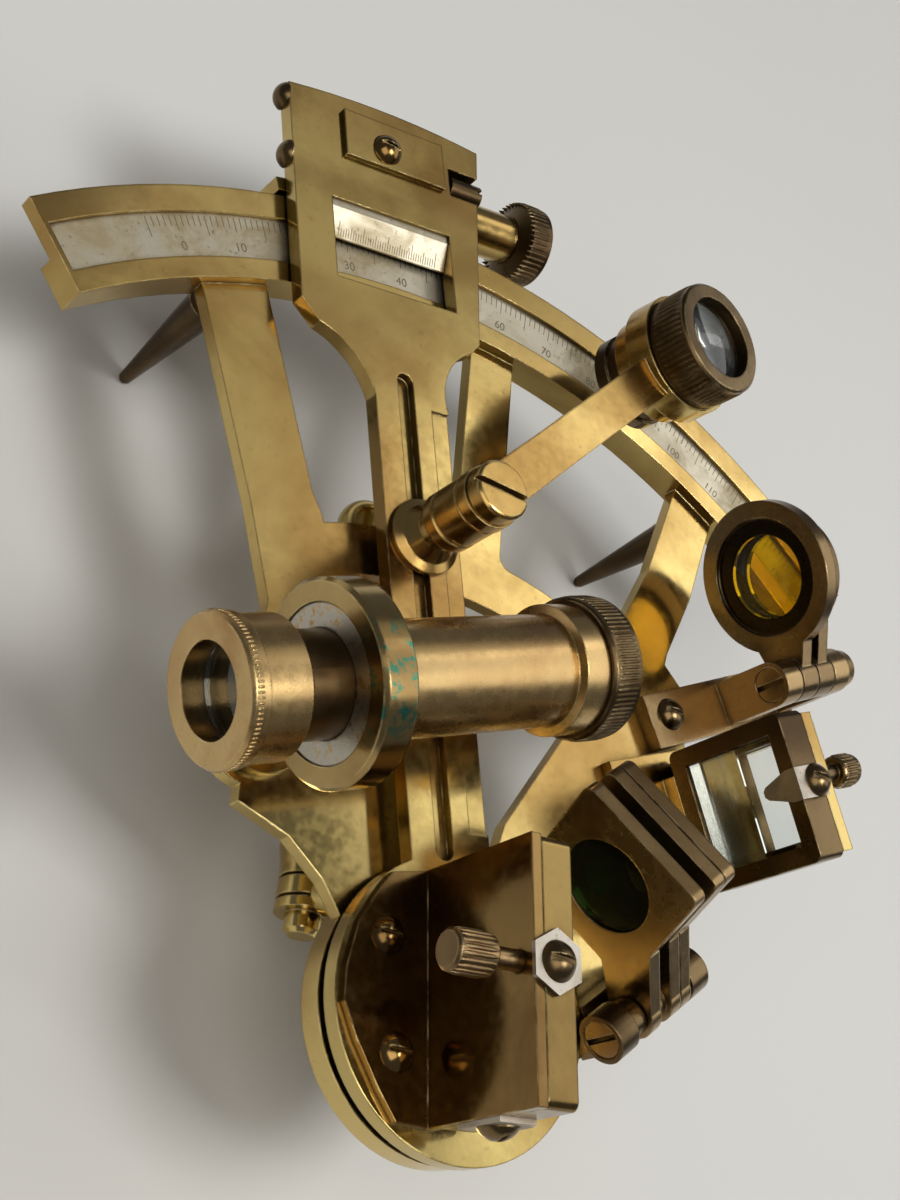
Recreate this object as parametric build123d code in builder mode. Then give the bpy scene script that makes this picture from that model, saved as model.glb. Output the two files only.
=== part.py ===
from build123d import *
from math import asin, cos, hypot, radians, sin, sqrt
import os

os.makedirs("parts", exist_ok=True)

# Small brass sextant standing on its three feet. Millimetres and degrees.
# Origin: pivot axis of the index arm, in the plane of the feet. +Y: middle of the limb. +Z: up.

# ---- Driving dimensions ----
# Frame
stand_height = 25.0          # feet plane to top of limb
scale_r_out = 85.0
scale_width = 5.2
limb_edge = 3.0              # brass outside the scale
limb_land = 2.4              # brass inside the scale
limb_rib = 4.6               # deep inner part of the limb
limb_half_angle = 40.5
scale_half_angle = 40.1
flange_t = 1.8
arm_drop = 1.3               # arms' top below limb top
frame_t = 1.6
limb_depth = 3.8
hub_r = 14.2
hub_depth = 1.2
boss_r = 9.0
scale_depth = 0.5
scale_t = 0.4
crossbar_r = 44.8
crossbar_w = 5.7
middle_w = 6.1
middle_x = 0.25
limb_weld = 1.6
telescope_lobe_r = 6.3
# Feet
foot_r = 2.3
foot_tip_r = 0.75
foot_spread = 26.1           # each side of +Y, degrees
rear_foot = (16.8, 3.5)
# Handle
handle_drop = 13.0           # axis below limb top
handle_near = (-9.6, 7.6)
handle_far = (-7.2, 59.0)
handle_r = 4.3
handle_seat_r = 3.1
handle_post_r = 1.9
handle_post_near = 4.5       # along the handle from its near end
handle_post_far = 39.9
# Pivot
axle_r = 3.2
nut_r = 5.0
nut_t = 2.0
washer_r = 6.2
washer_t = 0.8
# Index arm
index_azimuth = 101.2
index_lift = 0.25            # underside above limb top
index_t = 1.85
index_disc_r = 14.6
bar_left = 4.7
bar_right = 5.0
groove_start = 14.0
groove_w = 2.1
groove_depth = 1.0
plate_lead = 3.8             # plate begins inside the limb
plate_left = 13.35
plate_right = 13.1
plate_taper = 2.6
plate_overhang = 13.6        # plate reaches past the limb
window_left = 8.5
window_right = 7.6
vernier_land = 2.5
cover_t = 0.6
cover_gap = 5.9
cover_len = 6.0
small_screw_r = 1.9
side_screw_r = 1.6
# Tangent screw and clamp
screw_out = 6.0              # tangent screw beyond the limb edge
screw_drop = 3.25            # below the arm's underside
screw_r = 1.2
barrel_r = 2.9
barrel_end = 20.5
knob_r = 4.9
knob_t = 4.0
jaw_gap = 0.3
edge_gap = 0.6
clamp_wall = 1.6
clamp_t = 3.0
clamp_knob_r = 4.0
clamp_screw_r = 1.5
# Magnifier
post_y = 48.3
post_flange_r = 4.2
post_r = 3.3
post_height = 9.9            # arm's top to underside of the magnifier arm
loupe_azimuth = 49.2
loupe_reach = 40.0
loupe_w = 4.8
loupe_t = 1.5
loupe_tilt = 6.9
loupe_tilt_azimuth = 5.0
loupe_ring_r = 7.2
cell_tube_r = 5.3
cell_head_r = 6.7
cell_head_top = 5.9
cell_focus = 1.9
lens_r = 4.85
# Telescope
eye_point = (-36.5, 17.2)
telescope_azimuth = 22.0
telescope_lift = 12.0        # axis above limb top
tube_r = 5.6
tube_wall = 0.55
collar_r = 9.6
collar_start = 11.7
collar_w = 3.5
thread_r = 7.3
cup_r = 6.55
cup_rim_r = 6.9
cup_len = 6.6
eye_bore_r = 4.35
tube_end = 43.2
objective_r = 7.2
objective_start = tube_end - 1.4
objective_w = 4.0
telescope_post_r = 2.2
telescope_flange_r = 5.0
# Index mirror
mirror_lag = 95.7            # arm azimuth less mirror's front normal
tray_back = 4.7
tray_front = 0.2
tray_low = 11.7
tray_high = 12.3
tray_top = 18.3              # above limb top
upright_t = 1.1
tray_wall = 1.6
mirror_t = 2.0
adjuster_r = 1.9
adjuster_len = 4.6
adjuster_lift = 16.1
# Horizon mirror
horizon_azimuth = 24.0
horizon_centre = (30.84, 27.57)
horizon_half = 8.0
horizon_bottom = 2.0
horizon_top = 18.3
horizon_front = 2.0
horizon_back = 1.8
horizon_wall = 2.0
horizon_glass_t = 1.5
silvering_t = 0.3
horizon_upright_t = 1.5
horizon_adjuster_lift = 16.6
horizon_adjuster_r = 1.7
# Horizon shades
hs_azimuth = 28.0
hs_start = (35.8, 44.0)
hs_lift = 8.0
knuckle_r = 2.6
ear_w = 2.8
hs_pitch = 3.0
hs_tail = 5.2
hs_reach = 12.23
hs_up = 7.7
hs_leaf_r = (8.9, 7.2)      # front leaf, rear leaf
hs_leaf_rim = 2.0
shade_glass_r = 4.9
leaf_t = 1.7
hs_bar_w = 6.3
hs_pad = (27.5, 40.0)
hs_pad_r = 3.6
hs_bar_t = 1.8
pin_r = 1.1
# Index shades
is_azimuth = 41.0
is_hub = (17.8, 2.5)
is_lift = 5.8
is_side = 15.2
is_tilt = -21.8
is_corner = (3.06, 1.23)
is_glass_r = 4.9
is_leaf_t = 1.6
is_first_gap = 1.8
is_leaf_gap = 0.2
is_base_t = 3.4
# Clearances
run = 0.05                   # turning and sliding fits
face_gap = 0.1               # faces that pass each other
seat = 0.05                  # glass in its seat

# ---- Derived levels and radii ----
limb_top = stand_height
scale_r_in = scale_r_out - scale_width
limb_r_out = scale_r_out + limb_edge
limb_r_in = scale_r_in - limb_land
rib_r_out = limb_r_in + limb_rib
arm_top = limb_top - arm_drop
arm_z = arm_top - frame_t
rib_z = limb_top - limb_depth
hub_z = arm_z - hub_depth
index_z = limb_top + index_lift
index_top = index_z + index_t
weld_r = limb_r_in + limb_weld


# ---- Helpers ----
def polar(radius, azimuth, origin=(0.0, 0.0)):
    a = radians(azimuth)
    return (origin[0] + radius * cos(a), origin[1] + radius * sin(a))


def level(azimuth, z, origin=(0.0, 0.0)):
    """Level plane with its local x along an azimuth."""
    a = radians(azimuth)
    return Plane(origin=(origin[0], origin[1], z), x_dir=(cos(a), sin(a), 0), z_dir=(0, 0, 1))


def facing(azimuth, origin):
    """Upright plane: normal along an azimuth, local x level, local y up."""
    a = radians(azimuth)
    return Plane(origin=origin, x_dir=(-sin(a), cos(a), 0), z_dir=(cos(a), sin(a), 0))


def along(axis, origin):
    """Plane with its local x along a turning axis and its local y square to it."""
    side = (0, -1, 0) if abs(axis[2]) > 0.7 else (axis[1], -axis[0], 0)
    x_dir = Vector(*axis).normalized()
    z_dir = Vector(*side)
    z_dir = (z_dir - x_dir * x_dir.dot(z_dir)).normalized()
    return Plane(origin=origin, x_dir=x_dir, z_dir=z_dir)


def bearing(azimuth, origin):
    a = radians(azimuth)
    return along((cos(a), sin(a), 0), origin)


def outline(plane, *points, corner=0.0):
    with BuildSketch(plane) as section:
        with BuildLine():
            Polyline(*points, close=True)
        make_face()
        if corner:
            fillet(section.vertices(), corner)
    return section.sketch


def block(plane, x, y):
    return outline(plane, (x[0], y[0]), (x[1], y[0]), (x[1], y[1]), (x[0], y[1]))


def rounded(plane, x, y, corner):
    return outline(plane, (x[0], y[0]), (x[1], y[0]), (x[1], y[1]), (x[0], y[1]), corner=corner)


def disc(plane, radius, at=(0.0, 0.0)):
    with BuildSketch(plane) as section:
        with Locations(at):
            Circle(radius)
    return section.sketch


def sector(plane, r_in, r_out, start, end):
    with BuildSketch(plane) as section:
        with BuildLine():
            inner = CenterArc((0, 0), r_in, start, end - start)
            outer = CenterArc((0, 0), r_out, start, end - start)
            Line(inner @ 0, outer @ 0)
            Line(inner @ 1, outer @ 1)
        make_face()
    return section.sketch


def turn(plane, *profile, mode=Mode.ADD):
    """Turned shape from (distance along the axis, radius) points, in the active part."""
    axis = Axis(plane.origin, plane.x_dir)
    revolve(outline(plane, *profile), axis=axis, mode=mode)


def tube(plane, start, end, r_out, r_in=0.0, mode=Mode.ADD):
    turn(plane, (start, r_in), (end, r_in), (end, r_out), (start, r_out), mode=mode)


def cap(rim, base, height):
    """Middle point of a ball cap that rises from a rim on a turning axis."""
    ball = (rim * rim + height * height) / (2 * height)
    return (base + height - ball + ball * cos(0.5 * asin(min(1.0, rim / ball))),
            ball * sin(0.5 * asin(min(1.0, rim / ball))))


def dome(plane, radius, height, shank_r, shank):
    """Round-head screw standing on the plane's origin, its axis the plane's local x."""
    with BuildSketch(plane) as section:
        with BuildLine():
            stem = [(-shank, 0), (-shank, shank_r), (0, shank_r)] if shank else [(0, 0)]
            Polyline((height, 0), *stem, (0, radius))
            ThreePointArc((0, radius), cap(radius, 0, height), (height, 0))
        make_face()
    revolve(section.sketch, axis=Axis(plane.origin, plane.x_dir))


def slot(plane, at, length, width, depth):
    """Screwdriver slot across a head whose axis is the plane's local x."""
    face = Plane(origin=plane.from_local_coords((at, 0, 0)), x_dir=plane.y_dir, z_dir=plane.x_dir)
    with BuildSketch(face) as section:
        Rectangle(length, width)
    extrude(section.sketch, amount=-depth, mode=Mode.SUBTRACT)


def reach(start, through, radius):
    """Point at a distance from the pivot on the line start -> through."""
    dx = through[0] - start[0]
    dy = through[1] - start[1]
    n = hypot(dx, dy)
    b = (start[0] * dx + start[1] * dy) / n
    t = -b + sqrt(b * b - hypot(*start) ** 2 + radius**2)
    return (start[0] + t * dx / n, start[1] + t * dy / n)


def arm_level(z):
    """Level plane of the index arm: local y outward along the arm."""
    return level(index_azimuth - 90, z)


def on_arm(x, y):
    a = radians(index_azimuth - 90)
    return (x * cos(a) - y * sin(a), x * sin(a) + y * cos(a))


def arm_across(x, y, z):
    """Turning plane with its local x across the index arm."""
    px, py = on_arm(x, y)
    return bearing(index_azimuth - 90, (px, py, z))


def save(part, name):
    part.label = name
    export_step(part, "parts/" + name + ".step")


# ---- Frame: limb, three arms, crossbar, hub ----
telescope_z = limb_top + telescope_lift
collar_mid = collar_start + collar_w / 2
telescope_foot = polar(collar_mid, telescope_azimuth, eye_point)
is_stack = 3 * is_leaf_t + is_first_gap + 2 * is_leaf_gap
is_tail = is_stack + ear_w
hs_base = polar(hs_pitch * 2 + ear_w * 2, hs_azimuth, hs_start)

left_arm = [
    (-28.2, 45.5), (-24.7, 35.5), (-25.2, 27.0), (-25.0, 14.3), (-19.2, 12.5), (-14.9, 9.3),
    (-9.0, 2.0), (-5.5, 12.0), (-7.0, 22.0), (-9.5, 27.0), (-15.5, 33.0), (-19.7, 47.2),
    (-21.3, 49.6),
]
right_arm = [
    (25.3, 58.6), (13.7, 33.5), (6.2, 21.0), (3.5, 11.0), (8.0, -2.0), (13.0, -4.5), (17.0, -1.2),
    (26.2, 6.6), (26.8, 14.0), (33.8, 20.2), (34.6, 26.0), (31.6, 36.5), (30.7, 45.0),
    (28.2, 47.1), (28.5, 48.5), (32.1, 57.2),
]
left_ends = [
    reach((-21.3, 49.6), (-29.3, 69.8), weld_r), reach((-28.2, 45.5), (-35.7, 63.9), weld_r),
]
right_ends = [
    reach((32.1, 57.2), (34.4, 65.4), weld_r), reach((25.3, 58.6), (27.8, 66.5), weld_r),
]

with BuildPart() as frame:
    with BuildSketch(Plane.XY.offset(arm_z)) as plan:
        add(outline(Plane.XY, *left_arm, *left_ends))
        add(outline(Plane.XY, *right_arm, *right_ends))
        add(sector(Plane.XY, crossbar_r, crossbar_r + crossbar_w, 62, 118))
        add(block(
            Plane.XY,
            (middle_x - middle_w / 2, middle_x + middle_w / 2),
            (crossbar_r + 1, weld_r - 0.2),
        ))
        Circle(hub_r)
        with Locations(telescope_foot):
            Circle(telescope_lobe_r)
        with Locations(hs_pad):
            Circle(hs_pad_r)
        corners = [
            (-20.6, 48.0), (-2.8, 50.4), (3.3, 50.4), (21.9, 45.4), (17.9, 42.6),
        ]
        fillet([plan.vertices().sort_by_distance((x, y, 0))[0] for x, y in corners], 1.6)
        fillet(plan.vertices().sort_by_distance((-17.9, 41.0, 0))[0], 4.0)
    extrude(amount=frame_t)
    spread = limb_half_angle
    extrude(
        sector(Plane.XY.offset(rib_z), limb_r_in, rib_r_out, 90 - spread, 90 + spread),
        amount=limb_top - rib_z,
    )
    extrude(
        sector(Plane.XY.offset(limb_top), limb_r_in, limb_r_out, 90 - spread, 90 + spread),
        amount=-flange_t,
    )
    extrude(disc(Plane.XY.offset(hub_z), hub_r), amount=hub_depth)
    extrude(disc(Plane.XY.offset(arm_top), boss_r), amount=index_z - face_gap - arm_top)
    extrude(
        sector(Plane.XY.offset(limb_top), scale_r_in, scale_r_out,
               90 - scale_half_angle, 90 + scale_half_angle),
        amount=-(scale_depth + scale_t), mode=Mode.SUBTRACT,
    )
    extrude(
        disc(Plane.XY.offset(hub_z), axle_r + run), amount=index_z - hub_z, mode=Mode.SUBTRACT
    )
save(frame.part, "frame")

with BuildPart() as silver_scale:
    extrude(
        sector(Plane.XY.offset(limb_top - scale_depth - scale_t), scale_r_in, scale_r_out,
               90 - scale_half_angle, 90 + scale_half_angle),
        amount=scale_t,
    )
save(silver_scale.part, "silver_scale")

# ---- Feet ----
foot_places = [
    ("foot_left", polar(limb_r_in, 90 + foot_spread), rib_z),
    ("foot_right", polar(limb_r_in, 90 - foot_spread), rib_z),
    ("foot_rear", rear_foot, arm_z),
]
for name, (x, y), top in foot_places:
    with BuildPart() as foot:
        turn(
            along((0, 0, 1), (x, y, 0)),
            (0, 0), (0, foot_tip_r * 0.6), (0.5, foot_tip_r), (top - 2.2, foot_r - 0.1),
            (top - 1.7, foot_r - 0.5), (top - 1.2, foot_r), (top, foot_r), (top, 0),
        )
    save(foot.part, name)

# ---- Handle under the frame ----
handle_z = limb_top - handle_drop
handle_dx = handle_far[0] - handle_near[0]
handle_dy = handle_far[1] - handle_near[1]
handle_len = hypot(handle_dx, handle_dy)
handle_axis = along((handle_dx, handle_dy, 0), (handle_near[0], handle_near[1], handle_z))


def on_handle(t):
    return (handle_near[0] + handle_dx * t / handle_len, handle_near[1] + handle_dy * t / handle_len)


far_seat = handle_post_far - 3.2
with BuildPart() as handle_grip:
    with BuildSketch(handle_axis) as section:
        with BuildLine():
            Polyline(
                (handle_len, 0), (0, 0), (0, 1.4), (0.5, 1.9), (2.2, 1.9), (2.2, handle_seat_r),
                (3.2, handle_seat_r), (3.4, handle_seat_r - 0.5), (3.6, handle_seat_r),
                (5.4, handle_seat_r), (5.6, handle_seat_r - 0.5), (5.8, handle_seat_r),
                (6.8, handle_seat_r),
            )
            ThreePointArc(
                (6.8, handle_seat_r), (0.45 * far_seat, handle_r), (far_seat, handle_seat_r),
            )
            tail = handle_len - handle_seat_r
            Line((far_seat, handle_seat_r), (tail, handle_seat_r))
            ThreePointArc(
                (tail, handle_seat_r), cap(handle_seat_r, tail, handle_seat_r), (handle_len, 0)
            )
        make_face()
    revolve(section.sketch, axis=Axis(handle_axis.origin, handle_axis.x_dir))
save(handle_grip.part, "handle_grip")

near_foot = on_handle(handle_post_near)
far_foot = on_handle(handle_post_far)
near_head = polar(hub_r - handle_post_r - 0.4, 129.5)
with BuildPart() as handle_posts:
    rise = (near_head[0] - near_foot[0], near_head[1] - near_foot[1], hub_z - handle_z)
    near_axis = along(rise, (near_foot[0], near_foot[1], handle_z))
    tube(near_axis, 0, hypot(*rise) + 3, handle_post_r)
    split(bisect_by=Plane.XY.offset(hub_z), keep=Keep.BOTTOM)
    tube(along((0, 0, 1), (far_foot[0], far_foot[1], 0)), handle_z, arm_z, handle_post_r)
    tube(handle_axis, -1, handle_len + 1, handle_seat_r, mode=Mode.SUBTRACT)
    split(bisect_by=Plane.XY.offset(handle_z), keep=Keep.TOP)
save(handle_posts.part, "handle_posts")

# ---- Pivot ----
with BuildPart() as pivot_axle:
    axle = along((0, 0, 1), (0, 0, 0))
    tube(axle, hub_z - washer_t - nut_t - 1.0, index_top, axle_r)
save(pivot_axle.part, "pivot_axle")

with BuildPart() as pivot_washer:
    tube(axle, hub_z - washer_t, hub_z - face_gap, washer_r, axle_r + run)
save(pivot_washer.part, "pivot_washer")

with BuildPart() as pivot_nut:
    with BuildSketch(Plane.XY.offset(hub_z - washer_t - nut_t)):
        RegularPolygon(nut_r, 6)
        Circle(axle_r + 0.01, mode=Mode.SUBTRACT)
    extrude(amount=nut_t)
save(pivot_nut.part, "pivot_nut")

# ---- Index arm ----
plate_y = limb_r_in - plate_lead
plate_r = limb_r_out + plate_overhang
window_y = limb_r_in
window_end = scale_r_out + vernier_land
cover_y = window_end + cover_gap
screw_y = limb_r_out + screw_out
screw_z = index_z - screw_drop
notch_y = screw_y - 0.7
notch_len = 3.7
notch_x = plate_right - 4.7
cover_screw = (-0.8, cover_y + 2.4)
mirror_azimuth = index_azimuth - mirror_lag
flange_screws = [(-9.3, 5.4), (-8.2, -5.2)]
shank_r = 0.8


def left_corner(y):
    return (-plate_left, sqrt(y * y - plate_left**2))


def right_corner(y):
    return (plate_right, sqrt(y * y - plate_right**2))


with BuildPart() as index_arm:
    with BuildSketch(arm_level(index_z)) as arm_plan:
        Circle(index_disc_r)
        with BuildLine():
            Polyline(
                (-plate_left, plate_y - 0.2), (-11.2, plate_y - 2.6),
            )
            ThreePointArc(
                (-11.2, plate_y - 2.6), (-6.9, plate_y - 5.4), (-bar_left, plate_y - 9.6),
            )
            Polyline(
                (-bar_left, plate_y - 9.6), (-bar_left, 0), (bar_right, 0), (bar_right, plate_y - 9.6),
            )
            ThreePointArc(
                (bar_right, plate_y - 9.6), (5.7, plate_y - 4.2), (9.2, plate_y - 1.0),
            )
            Polyline(
                (9.2, plate_y - 1.0), (plate_right - plate_taper, plate_y + 0.4),
                right_corner(plate_r),
            )
            ThreePointArc(right_corner(plate_r), (0, plate_r), left_corner(plate_r))
            Line(left_corner(plate_r), (-plate_left, plate_y - 0.2))
        make_face()
    extrude(amount=index_t)
    # window, notch, groove and lowered margin
    extrude(
        block(arm_level(index_z), (-window_left, window_right), (window_y, window_end)),
        amount=index_t, mode=Mode.SUBTRACT,
    )
    extrude(
        block(arm_level(index_z), (notch_x, plate_right + 2), (notch_y, notch_y + notch_len)),
        amount=index_t, mode=Mode.SUBTRACT,
    )
    with BuildSketch(arm_level(index_top)) as groove:
        with Locations((-0.6, (groove_start + plate_y - 6.1) / 2)):
            SlotOverall(plate_y - 6.1 - groove_start, groove_w, rotation=90)
    extrude(groove.sketch, amount=-groove_depth, mode=Mode.SUBTRACT)
    extrude(
        block(arm_level(index_top), (bar_right - 2.3, bar_right + 0.4), (17, plate_y - 9.8)),
        amount=-0.3, mode=Mode.SUBTRACT,
    )
    extrude(disc(Plane.XY.offset(index_z), axle_r + 0.01), amount=index_t, mode=Mode.SUBTRACT)
    extrude(
        disc(arm_level(index_z), shank_r + run, cover_screw), amount=index_t, mode=Mode.SUBTRACT
    )
    for at in flange_screws:
        extrude(
            disc(level(mirror_azimuth, index_z), shank_r + run, at),
            amount=index_t, mode=Mode.SUBTRACT,
        )
    extrude(disc(arm_level(index_z), shank_r + 0.25, (0, post_y)), amount=index_t,
            mode=Mode.SUBTRACT)
save(index_arm.part, "index_arm")

with BuildPart() as vernier_scale:
    x0, y0 = on_arm(-window_left + seat, 0)
    a = radians(index_azimuth)
    wedge = Plane(origin=(x0, y0, 0), x_dir=(cos(a), sin(a), 0), z_dir=(sin(a), -cos(a), 0))
    lip = scale_r_out - 1.5
    extrude(
        outline(
            wedge,
            (window_end, index_z + 0.05), (window_end, index_top - 0.35),
            (window_end - 0.9, index_top - 0.35), (lip, index_z + 0.3), (lip, index_z + 0.05),
        ),
        amount=window_left + window_right - 2 * seat,
    )
save(vernier_scale.part, "vernier_scale")

with BuildPart() as cover_plate:
    extrude(
        block(arm_level(index_top), (-6.4, 7.3), (cover_y, cover_y + cover_len)), amount=cover_t
    )
    extrude(
        disc(arm_level(index_top), shank_r + run, cover_screw), amount=cover_t, mode=Mode.SUBTRACT
    )
save(cover_plate.part, "cover_plate")

flange_t2 = 0.7
with BuildPart() as arm_screws:
    x, y = on_arm(*cover_screw)
    head = along((0, 0, 1), (x, y, index_top + cover_t))
    dome(head, small_screw_r, 1.3, shank_r, cover_t + index_t)
    slot(head, 1.3, 5, 0.5, 0.5)
    for at in flange_screws:
        place = level(mirror_azimuth, index_top + flange_t2).from_local_coords((at[0], at[1], 0))
        head = along((0, 0, 1), place)
        dome(head, small_screw_r, 1.1, shank_r, flange_t2 + index_t)
        slot(head, 1.1, 5, 0.5, 0.45)
save(arm_screws.part, "arm_screws")

# ---- Housing of the tangent screw, under the plate ----
lug_y = screw_y - 3.0
lug_z = screw_z - 3.0
back_y = sqrt(plate_r**2 - plate_left**2) - 0.6
wall_left = -5.0             # the housing's back wall starts here, well under the plate
lug_right = plate_right - 6.1
with BuildPart() as tangent_block:
    base = arm_level(lug_z)
    high = index_z - lug_z
    extrude(block(base, (lug_right, plate_right - 0.4), (lug_y, back_y)), amount=high)
    extrude(block(base, (wall_left, plate_right - 0.4), (back_y - 1.8, back_y)), amount=high)
    barrel = arm_across(0, screw_y, screw_z)
    tube(barrel, plate_right - 0.4, barrel_end, barrel_r)
    tube(barrel, lug_right - 1, barrel_end + 1, screw_r + run, mode=Mode.SUBTRACT)
    notch = arm_across(0, notch_y + notch_len / 2, index_z + 0.55)
    tube(notch, lug_right - 0.2, plate_right + 0.3, 1.5, mode=Mode.SUBTRACT)
save(tangent_block.part, "tangent_block")

with BuildPart() as notch_screw:
    tube(notch, notch_x + 0.4, plate_right + 0.1, 1.45)
    slot(notch, plate_right + 0.1, 4, 0.5, 0.6)
save(notch_screw.part, "notch_screw")

with BuildPart() as side_screws:
    for y in (back_y - 0.6, back_y - 8.2):
        head = bearing(index_azimuth + 90, (*on_arm(-plate_left, y), index_z + 0.6))
        dome(head, side_screw_r, 1.1, 0, 0)
save(side_screws.part, "side_screws")

# ---- Limb clamp and its screw ----
wall_r = limb_r_out + edge_gap
jaw_top = limb_top - flange_t - jaw_gap
jaw_z = jaw_top - clamp_t
clamp_mid = (-1.8, limb_r_out - 2.0)
with BuildPart() as limb_clamp:
    az0 = index_azimuth - 3.2
    az1 = index_azimuth + 9.2
    extrude(sector(Plane.XY.offset(jaw_z), rib_r_out + 1.6, wall_r + 0.2, az0, az1), amount=clamp_t)
    extrude(
        sector(Plane.XY.offset(jaw_z), wall_r, wall_r + clamp_wall, az0, az1),
        amount=index_z - face_gap - jaw_z,
    )
    extrude(
        block(arm_level(jaw_z + 0.3), (-6.0, 2.5), (wall_r + 1.0, screw_y + 3.0)),
        amount=index_z - 2 * face_gap - jaw_z - 0.3,
    )
    tube(arm_across(0, screw_y, screw_z), -20, 20, screw_r + run, mode=Mode.SUBTRACT)
    extrude(
        disc(arm_level(jaw_z), clamp_screw_r + run, clamp_mid), amount=clamp_t, mode=Mode.SUBTRACT
    )
save(limb_clamp.part, "limb_clamp")

with BuildPart() as clamp_screw:
    stem = along((0, 0, 1), (*on_arm(*clamp_mid), 0))
    turn(
        stem,
        (jaw_z - 5.0, 0), (jaw_z - 5.0, clamp_knob_r - 0.5), (jaw_z - 4.5, clamp_knob_r),
        (jaw_z - 1.6, clamp_knob_r), (jaw_z - 1.2, clamp_knob_r - 0.6), (jaw_z - 1.2, clamp_screw_r),
        (limb_top - flange_t - face_gap, clamp_screw_r), (limb_top - flange_t - face_gap, 0),
    )
save(clamp_screw.part, "clamp_screw")

with BuildPart() as tangent_screw:
    tip = -7.0
    end = barrel_end + face_gap
    turn(
        barrel,
        (tip, 0), (tip, screw_r), (end, screw_r), (end, 3.0), (end + 0.7, knob_r - 0.5),
        (end + 0.9, knob_r), (end + knob_t - 0.3, knob_r), (end + knob_t, knob_r - 0.4),
        (end + knob_t, 0),
    )
save(tangent_screw.part, "tangent_screw")

# ---- Index mirror on the arm's disc ----
tray_z = limb_top + tray_top
flange_plan = [
    (-8.8, 11.5), (-10.8, 8.9), (-12.5, 6.3), (-13.8, 1.9), (-14.0, -1.3), (-12.6, -4.6),
    (-10.2, -8.7), (-8.3, -11.4),
]
upright_n = -tray_back + upright_t
adjuster_z = limb_top + adjuster_lift
adjuster_axis = bearing(
    mirror_azimuth, (*polar(1.0, mirror_azimuth + 90), adjuster_z)
)
with BuildPart() as index_mirror_bracket:
    base = level(mirror_azimuth, index_top)
    extrude(
        outline(base, *flange_plan, (-tray_back + 0.5, -tray_low), (upright_n, -tray_low),
                (upright_n, tray_high), (-tray_back + 0.5, tray_high)),
        amount=flange_t2,
    )
    extrude(
        block(base, (-tray_back, upright_n), (-tray_low, tray_high)), amount=tray_z - index_top
    )
    for at in flange_screws:
        extrude(disc(base, shank_r + run, at), amount=flange_t2, mode=Mode.SUBTRACT)
    tube(adjuster_axis, -tray_back - 1, upright_n + 1, 1.0 + run, mode=Mode.SUBTRACT)
save(index_mirror_bracket.part, "index_mirror_bracket")

tray_n = upright_n + 0.05
glass_n = -tray_front - 0.4
tray_base = index_top + flange_t2 + face_gap
with BuildPart() as index_mirror_tray:
    base = level(mirror_azimuth, tray_base)
    high = tray_z - tray_base
    back = facing(mirror_azimuth, (*polar(tray_n, mirror_azimuth), 0))
    extrude(
        rounded(back, (-tray_low, tray_high), (tray_base, tray_z), 0.9),
        amount=-tray_front - tray_n,
    )
    extrude(
        block(
            level(mirror_azimuth, tray_base + tray_wall), (glass_n - mirror_t, 1),
            (-tray_low + tray_wall, tray_high - tray_wall),
        ),
        amount=high - 2 * tray_wall, mode=Mode.SUBTRACT,
    )
save(index_mirror_tray.part, "index_mirror_tray")

with BuildPart() as index_mirror:
    extrude(
        block(
            level(mirror_azimuth, tray_base + tray_wall + seat),
            (glass_n - mirror_t + 0.01, glass_n),
            (-tray_low + tray_wall + seat, tray_high - tray_wall - seat),
        ),
        amount=high - 2 * tray_wall - 2 * seat,
    )
save(index_mirror.part, "index_mirror")

clip_t = 0.5
top_clip = polar(-2.4, mirror_azimuth, polar(0.8, mirror_azimuth + 90))
side_clip_s = -tray_low
with BuildPart() as index_mirror_clips:
    with BuildSketch(level(mirror_azimuth, tray_z, top_clip)) as clip:
        RegularPolygon(3.0, 6, rotation=30)
    extrude(clip.sketch, amount=clip_t)
    side = facing(
        mirror_azimuth - 90, (*polar(tray_low, mirror_azimuth - 90), limb_top + 10.0)
    )
    extrude(block(side, (-4.6, -0.5), (-3.0, 3.0)), amount=clip_t)
    mouth = block(side, (-0.5, 0.1), (-2.0, 2.0))
    extrude(mouth, amount=clip_t)
save(index_mirror_clips.part, "index_mirror_clips")

with BuildPart() as index_clip_screws:
    head = along((0, 0, 1), (*top_clip, tray_z + clip_t))
    dome(head, 1.9, 1.3, 1.0, 0)
    slot(head, 1.3, 5, 0.6, 0.6)
    sx, sy = polar(tray_low + clip_t, mirror_azimuth - 90, polar(-2.4, mirror_azimuth))
    head = bearing(mirror_azimuth - 90, (sx, sy, limb_top + 10.0))
    dome(head, 2.0, 1.2, 1.0, 0)
    slot(head, 1.2, 5, 0.6, 0.5)
save(index_clip_screws.part, "index_clip_screws")

with BuildPart() as index_adjuster:
    knob = -tray_back - 3.3
    turn(
        adjuster_axis,
        (knob - adjuster_len, 0), (knob - adjuster_len, adjuster_r - 0.3),
        (knob - adjuster_len + 0.3, adjuster_r), (knob - 0.3, adjuster_r), (knob, adjuster_r - 0.3),
        (knob, 1.0), (tray_n - 0.02, 1.0), (tray_n - 0.02, 0),
    )
save(index_adjuster.part, "index_adjuster")

# ---- Magnifier ----
post_at = on_arm(0, post_y)
post_axis = along((0, 0, 1), (*post_at, index_top))
bar_z = index_top + post_height
with BuildPart() as magnifier_post:
    turn(
        post_axis,
        (0, 1.0 + run), (0, post_flange_r), (0.5, post_flange_r), (1.0, post_flange_r - 0.9),
        (2.4, 2.3), (3.2, 2.1), (3.8, 2.3), (4.1, post_r - 0.2), (4.4, post_r), (5.6, post_r),
        (5.8, post_r - 0.3), (6.1, post_r - 0.3), (6.3, post_r), (post_height - 0.3, post_r),
        (post_height, post_r - 0.3), (post_height, 1.0 + run),
    )
save(magnifier_post.part, "magnifier_post")

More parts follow.
